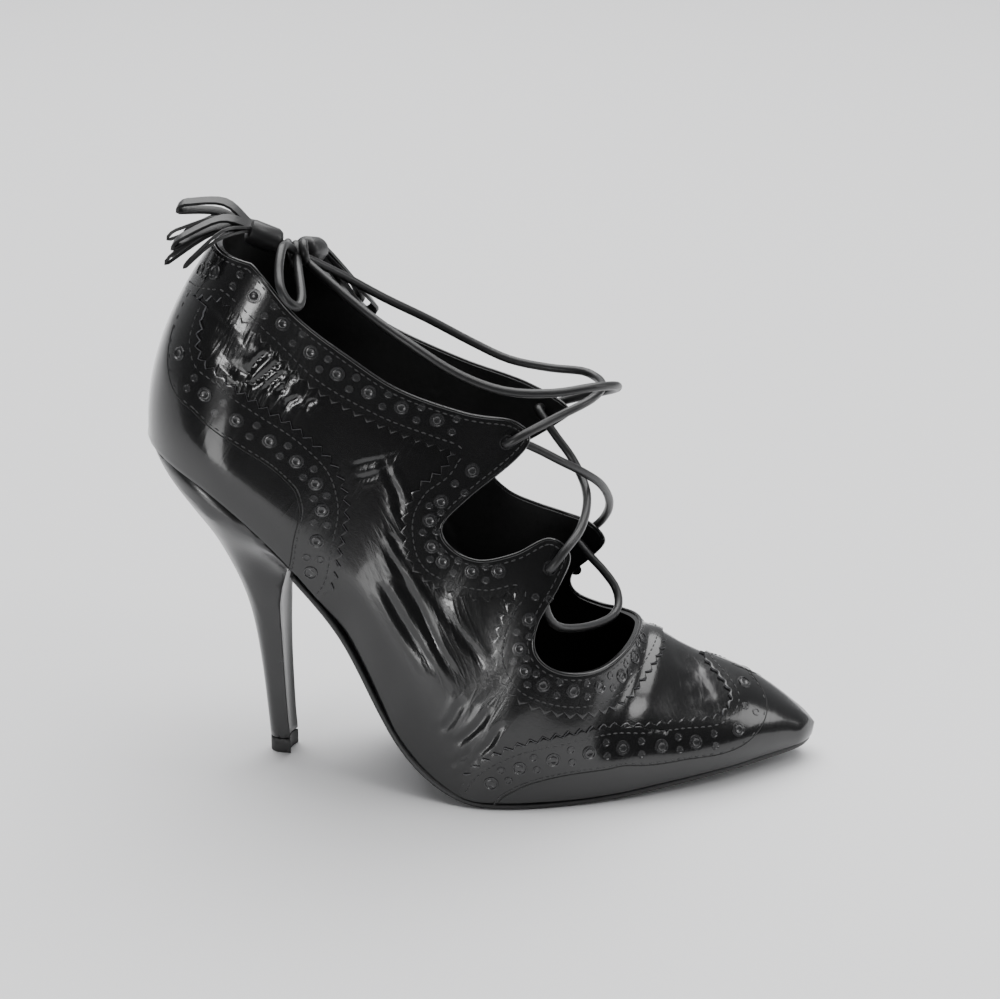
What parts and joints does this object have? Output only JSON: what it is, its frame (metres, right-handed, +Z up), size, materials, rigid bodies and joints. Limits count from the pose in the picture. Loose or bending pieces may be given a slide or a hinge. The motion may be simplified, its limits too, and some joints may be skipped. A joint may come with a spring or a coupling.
{
  "type": "lace up heel",
  "caption": "Right ghillie-laced pump in black leather: pointed winged toe, cut-out sides, high slim heel and a tied lace with two tassels.",
  "frame": {"origin": "centre of the heel top piece's face on the floor", "axes": "+X to the toe, +Y to the inner side, +Z up"},
  "size_m": [0.2172, 0.0823, 0.1799],
  "materials": {
    "glossy_leather": "glossy, crinkled",
    "lining_leather": "matt",
    "covered_heel": "satin",
    "sole_rubber": "satin",
    "lace_leather": "satin"
  },
  "bodies": {
    "root": {"upper": "glossy_leather", "eyestay_band": "glossy_leather", "heel_counter": "glossy_leather", "toe_cap": "glossy_leather", "insole": "lining_leather", "outsole": "sole_rubber", "heel": "covered_heel", "heel_tip": "sole_rubber", "lace_outer_strand": "lace_leather", "lace_inner_strand": "lace_leather", "lace_cross_outer": "lace_leather", "lace_cross_inner": "lace_leather", "lace_bar": "lace_leather", "lace_bow": "lace_leather", "lace_knot": "lace_leather", "tassel_back": "lace_leather", "tassel_side": "lace_leather"}
  },
  "joints": []
}
